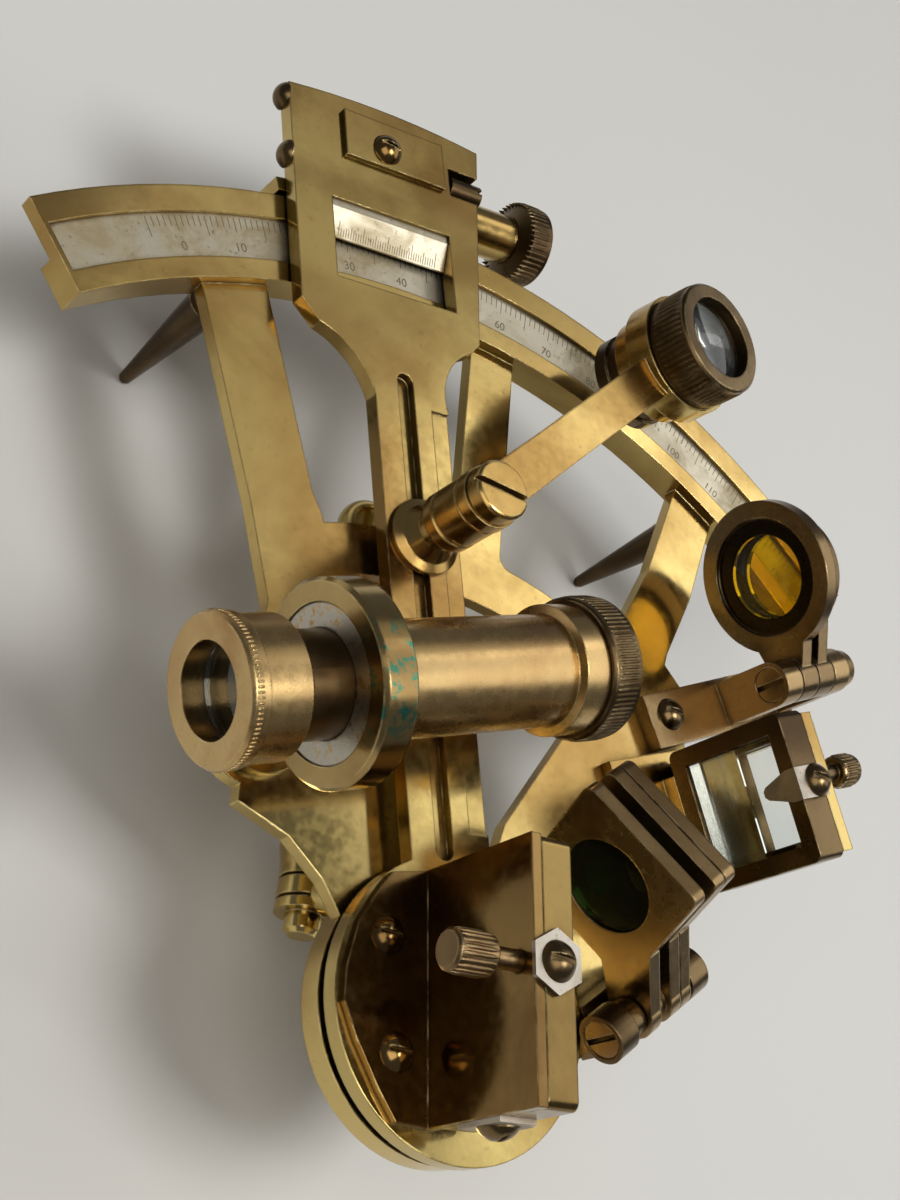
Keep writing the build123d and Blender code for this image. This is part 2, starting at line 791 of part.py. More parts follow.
with BuildPart() as magnifier_screw:
    turn(
        post_axis,
        (-index_t, 0), (-index_t, 1.0), (post_height + 0.02, 1.0), (post_height + 0.02, 1.9),
        (post_height + loupe_t + 0.1, 1.9), (post_height + loupe_t + 0.1, 3.2),
        (post_height + loupe_t + 1.8, 3.2), (post_height + loupe_t + 2.1, 2.9),
        (post_height + loupe_t + 2.1, 0),
    )
    slot(post_axis, post_height + loupe_t + 2.1, 8, 0.7, 0.9)
save(magnifier_screw.part, "magnifier_screw")

loupe_at = polar(loupe_reach, loupe_azimuth, post_at)
lean = radians(loupe_tilt)
lean_az = radians(loupe_tilt_azimuth)
loupe_dir = (sin(lean) * cos(lean_az), sin(lean) * sin(lean_az), cos(lean))
loupe_axis = along(loupe_dir, (*loupe_at, bar_z + loupe_t / 2))
ring_top = 1.0
ring_bottom = -4.6
bore_r = cell_tube_r + run
with BuildPart() as magnifier_arm:
    bar = level(loupe_azimuth, bar_z + 0.05, post_at)
    extrude(
        block(bar, (0, loupe_reach - loupe_ring_r + 0.4), (-loupe_w / 2, loupe_w / 2)),
        amount=loupe_t,
    )
    extrude(disc(bar, 3.4), amount=loupe_t)
    extrude(disc(bar, 1.9 + run), amount=loupe_t, mode=Mode.SUBTRACT)
    turn(
        loupe_axis,
        (ring_bottom, bore_r), (ring_bottom, 6.2), (-2.2, 6.2), (-2.2, loupe_ring_r),
        (ring_top, loupe_ring_r), (ring_top, bore_r),
    )
save(magnifier_arm.part, "magnifier_arm")

nut_top = ring_bottom - cell_focus - face_gap
lens_base = cell_head_top - 2.3
with BuildPart() as magnifier_cell:
    turn(
        loupe_axis,
        (nut_top - 1.6, 4.4), (nut_top - 1.6, 5.6), (nut_top, 5.6), (nut_top, cell_tube_r),
        (ring_top + face_gap, cell_tube_r), (ring_top + face_gap, cell_head_r),
        (cell_head_top - 0.3, cell_head_r), (cell_head_top, cell_head_r - 0.3),
        (cell_head_top, lens_r + seat), (lens_base, lens_r + seat), (lens_base, 4.4),
    )
save(magnifier_cell.part, "magnifier_cell")

with BuildPart() as magnifier_lens:
    with BuildSketch(loupe_axis) as section:
        with BuildLine():
            Polyline(
                (lens_base + 1.9, 0), (lens_base + seat, 0), (lens_base + seat, lens_r),
                (lens_base + 0.9, lens_r),
            )
            ThreePointArc(
                (lens_base + 0.9, lens_r), cap(lens_r, lens_base + 0.9, 1.0), (lens_base + 1.9, 0)
            )
        make_face()
    revolve(section.sketch, axis=Axis(loupe_axis.origin, loupe_axis.x_dir))
save(magnifier_lens.part, "magnifier_lens")

# ---- Telescope ----
sight = bearing(telescope_azimuth, (*eye_point, telescope_z))
foot_axis = along((0, 0, 1), (*telescope_foot, arm_top))
stem_gap = 1.2
with BuildPart() as telescope_post:
    tube(foot_axis, 0, stem_gap, telescope_flange_r)
    tube(foot_axis, stem_gap, stem_gap + 1.9, 1.2)
save(telescope_post.part, "telescope_post")

with BuildPart() as telescope_ring:
    tube(foot_axis, stem_gap + face_gap / 2, telescope_z - arm_top - collar_r + 0.6,
         telescope_post_r)
    turn(
        sight,
        (collar_start, thread_r + run), (collar_start, collar_r - 0.4),
        (collar_start + 0.4, collar_r), (collar_start + collar_w, collar_r),
        (collar_start + collar_w, thread_r + run),
    )
    tube(foot_axis, 0, stem_gap + 2.0, 1.2 + run, mode=Mode.SUBTRACT)
save(telescope_ring.part, "telescope_ring")

draw_r = tube_r - tube_wall - run
with BuildPart() as telescope_tube:
    turn(
        sight,
        (collar_start + 0.2, draw_r + run), (collar_start + 0.2, thread_r),
        (collar_start + collar_w - 0.2, thread_r), (collar_start + collar_w - 0.2, tube_r),
        (objective_start - 3.3, tube_r), (objective_start - 3.1, cup_r),
        (objective_start - 0.05, cup_r), (objective_start - 0.05, tube_r),
        (tube_end, tube_r), (tube_end, draw_r + run),
    )
save(telescope_tube.part, "telescope_tube")

objective_end = objective_start + objective_w
with BuildPart() as objective_cell:
    turn(
        sight,
        (objective_start, tube_r + 0.02), (objective_start, objective_r - 0.3),
        (objective_start + 0.3, objective_r), (objective_end - 0.3, objective_r),
        (objective_end, objective_r - 0.3), (objective_end, 4.8), (objective_end - 0.8, 4.8),
        (objective_end - 0.8, tube_r + 0.02),
    )
save(objective_cell.part, "objective_cell")

with BuildPart() as objective_lens:
    tube(sight, tube_end + seat, objective_end - 0.8 - seat, tube_r - seat)
save(objective_lens.part, "objective_lens")

lens_seat = 2.4
lens_w = 1.5
draw_start = lens_seat + lens_w + 0.1
with BuildPart() as draw_tube:
    tube(sight, draw_start, collar_start + 18.5, draw_r, draw_r - 0.6)
save(draw_tube.part, "draw_tube")

with BuildPart() as eyepiece_cup:
    turn(
        sight,
        (0, eye_bore_r), (0, cup_rim_r - 0.3), (0.3, cup_rim_r), (1.8, cup_rim_r),
        (2.0, cup_r), (cup_len - 0.3, cup_r), (cup_len, cup_r - 0.3), (cup_len, draw_r + 0.02),
        (lens_seat, draw_r + 0.02), (lens_seat, eye_bore_r),
    )
save(eyepiece_cup.part, "eyepiece_cup")

with BuildPart() as eyepiece_lens:
    tube(sight, lens_seat + 0.02, lens_seat + lens_w, draw_r - seat)
save(eyepiece_lens.part, "eyepiece_lens")

# ---- Horizon mirror ----
back_az = horizon_azimuth
foot_t = 1.5
h_bottom = limb_top + horizon_bottom
h_top = limb_top + horizon_top
h_mid = (h_bottom + h_top) / 2
post_n = horizon_back + 0.05
h_adjuster = bearing(
    back_az,
    (*polar(0.9, back_az + 90, horizon_centre), limb_top + horizon_adjuster_lift),
)
with BuildPart() as horizon_mirror_bracket:
    base = level(back_az, arm_top, horizon_centre)
    extrude(block(base, (-9.2, post_n + horizon_upright_t), (-5.6, 8.6)), amount=foot_t)
    extrude(
        block(base, (-horizon_front, post_n + horizon_upright_t), (-5.5, 5.5)),
        amount=h_bottom - face_gap / 2 - arm_top,
    )
    extrude(
        block(base, (post_n, post_n + horizon_upright_t), (-7.5, 7.5)),
        amount=h_mid - 3.0 - arm_top,
    )
    for s in (-7.5, 5.3):
        extrude(
            block(base, (post_n, post_n + horizon_upright_t), (s, s + 2.2)),
            amount=h_top - arm_top,
        )
    extrude(
        block(level(back_az, h_top - 3.8, horizon_centre),
              (post_n, post_n + horizon_upright_t), (-7.5, 7.5)),
        amount=3.8,
    )
    tube(h_adjuster, -1, 12, 0.9 + run, mode=Mode.SUBTRACT)
save(horizon_mirror_bracket.part, "horizon_mirror_bracket")

glass_front = -horizon_front + 0.6
h_wall = horizon_wall
with BuildPart() as horizon_mirror_tray:
    base = level(back_az, h_bottom, horizon_centre)
    tall = h_top - h_bottom
    back = facing(back_az, (*polar(-horizon_front, back_az, horizon_centre), 0))
    extrude(
        rounded(back, (-horizon_half, horizon_half), (h_bottom, h_top), 0.9),
        amount=horizon_front + horizon_back,
    )
    inner = horizon_half - h_wall
    extrude(
        block(
            level(back_az, h_bottom + h_wall, horizon_centre),
            (-horizon_front - 1, glass_front + horizon_glass_t + silvering_t), (-inner, inner),
        ),
        amount=tall - 2 * h_wall, mode=Mode.SUBTRACT,
    )
    # clear way behind the unsilvered upper half
    extrude(
        block(
            level(back_az, h_mid, horizon_centre), (-horizon_front, horizon_back + 1),
            (-inner + 0.6, inner - 0.6),
        ),
        amount=h_top - h_wall - 0.7 - h_mid, mode=Mode.SUBTRACT,
    )
save(horizon_mirror_tray.part, "horizon_mirror_tray")

with BuildPart() as horizon_mirror:
    extrude(
        block(
            level(back_az, h_bottom + h_wall + seat, horizon_centre),
            (glass_front, glass_front + horizon_glass_t), (-inner + seat, inner - seat),
        ),
        amount=tall - 2 * h_wall - 2 * seat,
    )
save(horizon_mirror.part, "horizon_mirror")

with BuildPart() as horizon_silvering:
    extrude(
        block(
            level(back_az, h_bottom + h_wall + seat, horizon_centre),
            (glass_front + horizon_glass_t, glass_front + horizon_glass_t + silvering_t - 0.01),
            (-inner + seat, inner - seat),
        ),
        amount=h_mid - h_bottom - h_wall - 2 * seat,
    )
save(horizon_silvering.part, "horizon_silvering")

clip_s = 0.2
clip_at = polar(clip_s, back_az + 90, horizon_centre)
with BuildPart() as horizon_mirror_clip:
    extrude(
        block(level(back_az, h_top, clip_at), (-horizon_front - 0.6, horizon_back), (-1.7, 1.7)),
        amount=0.5,
    )
    front = facing(back_az, (*polar(-horizon_front - 0.05, back_az, clip_at), h_top))
    extrude(
        outline(
            front, (-1.7, 0.5), (-1.7, -0.8), (-0.7, -3.9), (-0.3, -4.3), (0.3, -4.3),
            (0.7, -3.9), (1.7, -0.8), (1.7, 0.5),
        ),
        amount=-0.55,
    )
save(horizon_mirror_clip.part, "horizon_mirror_clip")

with BuildPart() as horizon_adjuster:
    h_knob = post_n + horizon_upright_t + 2.8
    knob_r = horizon_adjuster_r
    turn(
        h_adjuster,
        (post_n - 0.03, 0), (post_n - 0.03, 0.9), (h_knob, 0.9), (h_knob, knob_r - 0.2),
        (h_knob + 0.2, knob_r), (h_knob + 2.8, knob_r), (h_knob + 3.0, knob_r - 0.2),
        (h_knob + 3.0, 0),
    )
save(horizon_adjuster.part, "horizon_adjuster")

# ---- Horizon shades: two round leaves on one pin ----
hs_z = limb_top + hs_lift
hs_pin_axis = bearing(hs_azimuth, (*hs_start, hs_z))
leaf_hub = hs_pitch - 0.2
rear_ear = ear_w + 2 * hs_pitch + 0.2
hs_end = rear_ear + hs_tail
pad_top = arm_top + hs_bar_t
with BuildPart() as horizon_shade_bracket:
    bed = level(hs_azimuth, arm_top, hs_start)
    run_in = hypot(hs_start[0] - hs_pad[0], hs_start[1] - hs_pad[1])
    extrude(
        block(bed, (-run_in - hs_pad_r + 0.3, rear_ear + ear_w), (-hs_bar_w / 2, hs_bar_w / 2)),
        amount=hs_bar_t,
    )
    for w in (0, rear_ear):
        extrude(
            block(level(hs_azimuth, arm_top, hs_start), (w, w + ear_w), (-knuckle_r, knuckle_r)),
            amount=hs_z - arm_top,
        )
        tube(hs_pin_axis, w, w + ear_w, knuckle_r)
    turn(
        hs_pin_axis, (rear_ear + ear_w, 0), (rear_ear + ear_w, knuckle_r - 0.2),
        (hs_end - 0.9, knuckle_r - 0.4), (hs_end, knuckle_r - 1.3), (hs_end, 0),
    )
    tube(hs_pin_axis, -1, 1.2, 2.05, mode=Mode.SUBTRACT)
    tube(hs_pin_axis, -1, rear_ear + ear_w, pin_r + run, mode=Mode.SUBTRACT)
    extrude(
        disc(Plane.XY.offset(arm_top), shank_r + run, hs_pad), amount=hs_bar_t, mode=Mode.SUBTRACT
    )
save(horizon_shade_bracket.part, "horizon_shade_bracket")

with BuildPart() as horizon_shade_pin:
    turn(
        hs_pin_axis, (0.05, 0), (0.05, 2.0), (1.15, 2.0), (1.15, pin_r),
        (rear_ear + ear_w - 0.05, pin_r), (rear_ear + ear_w - 0.05, 0),
    )
    slot(hs_pin_axis, 0.65, 6, 0.6, 0.7)
save(horizon_shade_pin.part, "horizon_shade_pin")

with BuildPart() as horizon_screws:
    head = along((0, 0, 1), (*hs_pad, pad_top))
    dome(head, small_screw_r, 1.3, shank_r, hs_bar_t)
    slot(head, 1.3, 5, 0.5, 0.5)
    head = along((0, 0, 1), (*polar(0.5, back_az, clip_at), h_top + 0.5))
    dome(head, small_screw_r - 0.1, 1.2, 0.8, 0)
    slot(head, 1.2, 5, 0.6, 0.5)
save(horizon_screws.part, "horizon_screws")

for number in (1, 2):
    start = ear_w + 0.2 + (number - 1) * hs_pitch
    mid = start + leaf_hub / 2
    centre = (hs_reach * cos(radians(hs_up)), hs_reach * sin(radians(hs_up)))
    face = facing(hs_azimuth, (*polar(mid - leaf_t / 2, hs_azimuth, hs_start), hs_z))
    with BuildPart() as leaf:
        tube(hs_pin_axis, start, start + leaf_hub, knuckle_r)
        extrude(disc(face, hs_leaf_r[number - 1], centre), amount=leaf_t)
        ux, uy = cos(radians(hs_up)), sin(radians(hs_up))
        extrude(
            outline(
                face, (-1.9 * uy, 1.9 * ux), (6 * ux - 4 * uy, 6 * uy + 4 * ux),
                (6 * ux + 4 * uy, 6 * uy - 4 * ux), (1.9 * uy, -1.9 * ux),
            ),
            amount=leaf_t,
        )
        extrude(
            disc(face, hs_leaf_r[number - 1] - hs_leaf_rim, centre), amount=0.5, mode=Mode.SUBTRACT
        )
        extrude(disc(face, shade_glass_r + seat, centre), amount=leaf_t, mode=Mode.SUBTRACT)
        tube(hs_pin_axis, start - 1, start + leaf_hub + 1, pin_r + run, mode=Mode.SUBTRACT)
    save(leaf.part, "horizon_shade_" + str(number))
    with BuildPart() as pane:
        extrude(disc(face.offset(0.6), shade_glass_r, centre), amount=leaf_t - 0.8)
    save(pane.part, "horizon_glass_" + str(number))

# ---- Index shades: three square leaves on one pin ----
is_z = limb_top + is_lift
is_pin_axis = bearing(is_azimuth, (*is_hub, is_z))
is_rear = is_stack + is_leaf_gap
front_ear = -ear_w - 2.2
with BuildPart() as index_shade_bracket:
    bed = level(is_azimuth, arm_top, is_hub)
    extrude(block(bed, (-2.2, is_rear + ear_w), (-knuckle_r, knuckle_r)), amount=is_base_t)
    extrude(block(bed, (-2.2, -0.2), (-2.0, 2.0)), amount=is_z - arm_top)
    extrude(block(bed, (is_rear, is_rear + ear_w), (-knuckle_r, knuckle_r)), amount=is_z - arm_top)
    tube(is_pin_axis, -2.4, -0.2, 2.0)
    tube(is_pin_axis, front_ear, -2.2, knuckle_r)
    tube(is_pin_axis, is_rear, is_rear + ear_w, knuckle_r)
    tube(is_pin_axis, front_ear - 1, front_ear + 1.2, 2.05, mode=Mode.SUBTRACT)
    tube(is_pin_axis, front_ear - 1, is_rear + ear_w - 0.6, pin_r + run, mode=Mode.SUBTRACT)
save(index_shade_bracket.part, "index_shade_bracket")

with BuildPart() as index_shade_pin:
    turn(
        is_pin_axis, (front_ear + 0.05, 0), (front_ear + 0.05, 2.0), (front_ear + 1.15, 2.0),
        (front_ear + 1.15, pin_r), (is_rear + ear_w - 0.65, pin_r), (is_rear + ear_w - 0.65, 0),
    )
    slot(is_pin_axis, front_ear + 0.65, 6, 0.6, 0.7)
save(index_shade_pin.part, "index_shade_pin")

turned = radians(is_tilt)
middle = is_side / 2
for number in (1, 2, 3):
    start = 0.0
    if number > 1:
        start = is_leaf_t + is_first_gap + (number - 2) * (is_leaf_t + is_leaf_gap)
    face = facing(is_azimuth, (*polar(start, is_azimuth, is_hub), is_z))
    with BuildPart() as leaf:
        # square with one corner by the hub
        ex = (cos(turned), sin(turned))
        ey = (-sin(turned), cos(turned))
        square = []
        for i, j in ((0, 0), (1, 0), (1, 1), (0, 1)):
            square.append((
                is_corner[0] + is_side * (i * ex[0] + j * ey[0]),
                is_corner[1] + is_side * (i * ex[1] + j * ey[1]),
            ))
        extrude(outline(face, *square, corner=1.0), amount=is_leaf_t)
        extrude(
            outline(face, (-1.0, 2.3), (5.0, 6.2), (7.6, 0.6), (1.2, -2.2)), amount=is_leaf_t
        )
        extrude(disc(face, knuckle_r), amount=is_leaf_t)
        if number == 2:  # collar that keeps the first two leaves apart
            extrude(disc(face, 1.9), amount=-(is_first_gap - run))
        eye = (
            is_corner[0] + middle * (ex[0] + ey[0]), is_corner[1] + middle * (ex[1] + ey[1]),
        )
        extrude(disc(face, is_glass_r + seat, eye), amount=is_leaf_t, mode=Mode.SUBTRACT)
        tube(
            is_pin_axis, start - is_first_gap, start + is_leaf_t, pin_r + run, mode=Mode.SUBTRACT
        )
    save(leaf.part, "index_shade_" + str(number))
    with BuildPart() as pane:
        extrude(disc(face.offset(0.3), is_glass_r, eye), amount=is_leaf_t - 0.6)
    save(pane.part, "index_glass_" + str(number))
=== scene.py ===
import bpy
from math import cos, radians, sin, tau
from mathutils import Euler, Matrix, Vector


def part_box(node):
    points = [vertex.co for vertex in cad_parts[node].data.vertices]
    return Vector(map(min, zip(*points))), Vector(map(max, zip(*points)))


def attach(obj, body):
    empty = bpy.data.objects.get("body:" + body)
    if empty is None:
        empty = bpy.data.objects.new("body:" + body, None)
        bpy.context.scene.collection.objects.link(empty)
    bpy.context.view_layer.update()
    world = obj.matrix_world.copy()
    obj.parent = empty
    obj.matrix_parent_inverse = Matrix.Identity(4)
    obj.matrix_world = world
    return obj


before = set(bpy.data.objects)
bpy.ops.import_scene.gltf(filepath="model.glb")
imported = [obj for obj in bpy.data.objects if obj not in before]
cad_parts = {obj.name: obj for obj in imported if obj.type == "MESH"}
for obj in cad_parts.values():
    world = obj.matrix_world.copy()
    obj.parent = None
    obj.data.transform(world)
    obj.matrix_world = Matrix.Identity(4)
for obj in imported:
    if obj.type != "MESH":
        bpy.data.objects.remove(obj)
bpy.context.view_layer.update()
mm = 0.001
print("frame loaded:", len(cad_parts), "nodes")


# Camera, at the height of someone who leans over the table
viewpoint = {
    "place": (-99.913, -45.735, 161.243),
    "turn": (24.98967, -37.24509, 5.11546),
    "lens": 53.786,
}
lensData = bpy.data.cameras.new("tableView")
lensData.lens = viewpoint["lens"]
lensData.sensor_width = 36
lensData.clip_start = 0.01
tableView = bpy.data.objects.new("tableView", lensData)
tableView.location = Vector(viewpoint["place"]) * mm
tableView.rotation_euler = Euler([radians(v) for v in viewpoint["turn"]])
bpy.context.scene.collection.objects.link(tableView)
bpy.context.scene.camera = tableView
print("camera set")


# Small node helpers
def addNode(tree, kind, sockets=None, **settings):
    made = tree.nodes.new(kind)
    for key, value in settings.items():
        setattr(made, key, value)
    for key, value in (sockets or {}).items():
        if isinstance(value, bpy.types.NodeSocket):
            tree.links.new(value, made.inputs[key])
        else:
            made.inputs[key].default_value = value
    return made


def mixColour(tree, factor, first, second, style="MIX"):
    made = tree.nodes.new("ShaderNodeMix")
    made.data_type = "RGBA"
    made.blend_type = style
    for index, value in ((0, factor), (6, first), (7, second)):
        if isinstance(value, bpy.types.NodeSocket):
            tree.links.new(value, made.inputs[index])
        else:
            made.inputs[index].default_value = value if index == 0 else (*value, 1)
    return made.outputs[2]


def noiseAt(tree, coords, scale, detail=4.0, rough=0.55, warp=0.0):
    return addNode(tree, "ShaderNodeTexNoise", {
        "Vector": coords, "Scale": scale, "Detail": detail, "Roughness": rough, "Distortion": warp,
    }).outputs["Fac"]


def spread(tree, value, low, high, outLow=0.0, outHigh=1.0):
    return addNode(tree, "ShaderNodeMapRange", {
        "Value": value, "From Min": low, "From Max": high, "To Min": outLow, "To Max": outHigh,
    }, interpolation_type="SMOOTHSTEP").outputs["Result"]


def arithmetic(tree, kind, first, second):
    return addNode(tree, "ShaderNodeMath", {0: first, 1: second}, operation=kind).outputs[0]


def startMaterial(name):
    made = bpy.data.materials.new(name)
    made.use_nodes = True
    tree = made.node_tree
    tree.nodes.clear()
    surface = addNode(tree, "ShaderNodeBsdfPrincipled")
    out = addNode(tree, "ShaderNodeOutputMaterial")
    tree.links.new(surface.outputs[0], out.inputs["Surface"])
    coords = addNode(tree, "ShaderNodeTexCoord").outputs["Object"]
    return made, tree, surface, coords


reliefDepth = 0.02


# Old brass: a worn polish under brown tarnish, dirt flecks, painted shade darkening the corners,
# bright rubbed edges
def oldBrass(name, finish):
    made, tree, surface, coords = startMaterial(name)
    patches = noiseAt(tree, coords, finish["patchScale"], 5, 0.55, 0.5)
    veil = spread(tree, patches, finish["patchFrom"], finish["patchTo"])
    colour = mixColour(tree, veil, finish["polished"], finish["tarnish"])
    broad = spread(tree, noiseAt(tree, coords, finish["bloomScale"], 3, 0.5, 0.3), 0.42, 0.66)
    colour = mixColour(tree, arithmetic(tree, "MULTIPLY", broad, finish["bloomAmount"]),
                       colour, finish["bloom"])
    flecks = spread(tree, noiseAt(tree, coords, finish["fleckScale"], 3, 0.6), 0.6, 0.74,
                    0, finish["fleckAmount"])
    colour = mixColour(tree, flecks, colour, finish["dirtAndShade"])
    # painted shade: where ambient occlusion finds corners and recesses, the colour is darkened
    # towards the dark dirt colour
    corners = addNode(tree, "ShaderNodeAmbientOcclusion", {
        "Distance": finish["cornerReach"] * mm,
    }, samples=6)
    cornerShadeMask = spread(tree, corners.outputs["AO"], 0.78, 0.3, 0, finish["cornerShade"])
    colour = mixColour(tree, cornerShadeMask, colour, finish["dirtAndShade"])
    rounded = addNode(tree, "ShaderNodeBevel", {"Radius": finish["edgeWidth"] * mm}, samples=4)
    flat = addNode(tree, "ShaderNodeNewGeometry").outputs["Normal"]
    alike = addNode(tree, "ShaderNodeVectorMath", {0: rounded.outputs[0], 1: flat},
                    operation="DOT_PRODUCT").outputs["Value"]
    edge = spread(tree, alike, 0.995, 0.9, 0, 1)
    uneven = spread(tree, noiseAt(tree, coords, finish["rubScale"]), 0.4, 0.62)
    rubbed = arithmetic(tree, "MULTIPLY", edge, uneven)
    rubbed = arithmetic(tree, "MULTIPLY", rubbed, finish["rubbed"])
    colour = mixColour(tree, rubbed, colour, finish["rubbedColour"])
    for spot in finish.get("spots", []):
        place = addNode(tree, "ShaderNodeVectorMath",
                        {0: coords, 1: [v * mm for v in spot["at"]]}, operation="DISTANCE")
        near = spread(tree, place.outputs["Value"], spot["far"] * mm, spot["near"] * mm)
        crust = spread(tree, noiseAt(tree, coords, spot["scale"], 4, 0.7),
                       spot["from"], spot["to"])
        colour = mixColour(tree, arithmetic(tree, "MULTIPLY", near, crust), colour, spot["colour"])
    tree.links.new(colour, surface.inputs["Base Color"])
    surface.inputs["Metallic"].default_value = 1.0
    hazy = spread(tree, patches, 0.3, 0.7, finish["roughLow"], finish["roughHigh"])
    scuffs = spread(tree, noiseAt(tree, coords, finish["scuffScale"], 3, 0.6), 0.35, 0.7,
                    -0.02, 0.04)
    rough = arithmetic(tree, "ADD", hazy, scuffs)
    rough = arithmetic(tree, "ADD", rough,
                       arithmetic(tree, "MULTIPLY", cornerShadeMask, finish["cornerRough"]))
    tree.links.new(rough, surface.inputs["Roughness"])
    grain = addNode(tree, "ShaderNodeMapping", {"Vector": coords, "Scale": finish["grain"]})
    strokes = noiseAt(tree, grain.outputs[0], 1.0, 4, 0.6)
    waves = arithmetic(tree, "MULTIPLY", noiseAt(tree, coords, finish["waveScale"], 2),
                       finish["waveHeight"])
    height = arithmetic(tree, "ADD", strokes, waves)
    relief = addNode(tree, "ShaderNodeBump", {
        "Height": height, "Strength": finish["relief"], "Distance": reliefDepth * mm,
        "Normal": rounded.outputs[0],
    })
    tree.links.new(relief.outputs[0], surface.inputs["Normal"])
    return made


brassFinish = {
    "polished": (0.66, 0.50, 0.19), "tarnish": (0.44, 0.30, 0.095), "bloom": (0.30, 0.15, 0.045),
    "bloomAmount": 0.45, "dirtAndShade": (0.04, 0.022, 0.008), "rubbedColour": (0.86, 0.70, 0.36),
    "patchScale": 42.0, "patchFrom": 0.40, "patchTo": 0.68, "bloomScale": 38,
    "fleckScale": 1500, "fleckAmount": 0.16, "cornerReach": 2.2, "cornerShade": 0.9,
    "cornerRough": 0.25, "edgeWidth": 0.25, "rubScale": 500, "rubbed": 0.8,
    "scuffScale": 900, "roughLow": 0.11, "roughHigh": 0.24,
    "grain": (700, 700, 160), "waveScale": 90, "waveHeight": 4.0, "relief": 0.14,
}
wornBrass = oldBrass("wornBrass", brassFinish)
armBrass = oldBrass("armBrass", {
    **brassFinish, "polished": (0.56, 0.43, 0.16), "tarnish": (0.34, 0.23, 0.075),
    "bloom": (0.26, 0.125, 0.035), "bloomAmount": 0.55,
})
# painted shade: a very dark copy of the brass for the mirror bracket and its screws, standing in
# for the dark that their faces reflect
flangeBrass = oldBrass("flangeBrass", {
    **brassFinish, "polished": (0.27, 0.17, 0.06), "tarnish": (0.115, 0.06, 0.021),
    "bloom": (0.06, 0.028, 0.011), "bloomAmount": 0.7, "rubbedColour": (0.7, 0.55, 0.27),
})
tubeBrass = oldBrass("tubeBrass", {
    **brassFinish, "polished": (0.62, 0.44, 0.195), "tarnish": (0.42, 0.255, 0.10),
    "bloom": (0.36, 0.19, 0.085), "roughLow": 0.2, "roughHigh": 0.32, "patchScale": 70.0,
    "spots": [{"colour": (0.50, 0.47, 0.40), "at": (-25.6, 21.6, 37.0), "near": 7.6, "far": 8.6,
               "scale": 900, "from": 0.36, "to": 0.5}],
})
# painted shade: a darkened copy of the brass for the index mirror tray, standing in for the shaded
# floor that its back reflects
shadedTrayBrass = oldBrass("shadedTrayBrass", {
    **brassFinish, "polished": (0.27, 0.185, 0.065), "tarnish": (0.14, 0.085, 0.03),
    "bloom": (0.13, 0.055, 0.02), "bloomAmount": 0.6,
})
darkBrass = oldBrass("darkBrass", {
    **brassFinish, "polished": (0.19, 0.13, 0.062), "tarnish": (0.075, 0.047, 0.022),
    "bloom": (0.06, 0.037, 0.018), "bloomAmount": 0.5, "rubbedColour": (0.56, 0.43, 0.23),
    "roughLow": 0.18, "roughHigh": 0.36,
})
# painted shade: a very dark copy of the brass for the draw tube, standing in for the shade in the
# recess round it
shadedDrawTubeBrass = oldBrass("shadedDrawTubeBrass", {
    **brassFinish, "polished": (0.16, 0.10, 0.045), "tarnish": (0.06, 0.036, 0.016),
    "bloom": (0.05, 0.03, 0.015), "rubbedColour": (0.3, 0.22, 0.12),
    "roughLow": 0.22, "roughHigh": 0.4,
})
shadeBrass = oldBrass("shadeBrass", {
    **brassFinish, "polished": (0.36, 0.25, 0.12), "tarnish": (0.20, 0.125, 0.055),
    "bloom": (0.13, 0.08, 0.04), "bloomAmount": 0.45, "rubbedColour": (0.66, 0.52, 0.30),
    "roughLow": 0.2, "roughHigh": 0.36,
})
dishBrass = oldBrass("dishBrass", {
    **brassFinish, "polished": (0.22, 0.15, 0.075), "tarnish": (0.10, 0.063, 0.03),
    "bloom": (0.075, 0.047, 0.024), "bloomAmount": 0.45, "rubbedColour": (0.6, 0.47, 0.27),
    "roughLow": 0.2, "roughHigh": 0.36,
    # painted shade: within about 6.5 mm of the front leaf's centre the dish is coloured nearly
    # black, for the shade in the recess
    "spots": [{"colour": (0.022, 0.015, 0.008), "at": (33.24, 56.37, 34.64), "near": 6.5,
               "far": 7.2, "scale": 300, "from": 0.0, "to": 0.1}],
})
collarBrass = oldBrass("collarBrass", {
    **brassFinish, "polished": (0.50, 0.37, 0.155), "tarnish": (0.27, 0.17, 0.065),
    "spots": [{"colour": (0.07, 0.26, 0.17), "at": (-22.6, 20.1, 46.3), "near": 3.0, "far": 8.0,
               "scale": 700, "from": 0.5, "to": 0.62}],
})
print("brass finishes made")


# Matt stained metal: the silver of the two scales, the ink in it and the nickel clips
def stainedMetal(name, look):
    made, tree, surface, coords = startMaterial(name)
    stain = spread(tree, noiseAt(tree, coords, look["stainScale"], 6, 0.65, 0.5), 0.4, 0.68)
    colour = mixColour(tree, stain, look["clean"], look["stained"])
    specks = spread(tree, noiseAt(tree, coords, look["speckScale"], 4, 0.7), 0.6, 0.72, 0, 0.7)
    colour = mixColour(tree, specks, colour, look["speckAndShade"])
    # painted shade: corners and recesses found by ambient occlusion are darkened towards the speck
    # colour
    corners = addNode(tree, "ShaderNodeAmbientOcclusion", {
        "Distance": look["cornerReach"] * mm,
    }, samples=6)
    cornerShadeMask = spread(tree, corners.outputs["AO"], 0.85, 0.4)
    colour = mixColour(tree, cornerShadeMask, colour, look["speckAndShade"])
    tree.links.new(colour, surface.inputs["Base Color"])
    surface.inputs["Metallic"].default_value = look["metallic"]
    tree.links.new(spread(tree, stain, 0, 1, 0.38, 0.58), surface.inputs["Roughness"])
    relief = addNode(tree, "ShaderNodeBump", {
        "Height": noiseAt(tree, coords, look["grainScale"], 3), "Strength": 0.35,
        "Distance": reliefDepth * mm,
    })
    tree.links.new(relief.outputs[0], surface.inputs["Normal"])
    return made


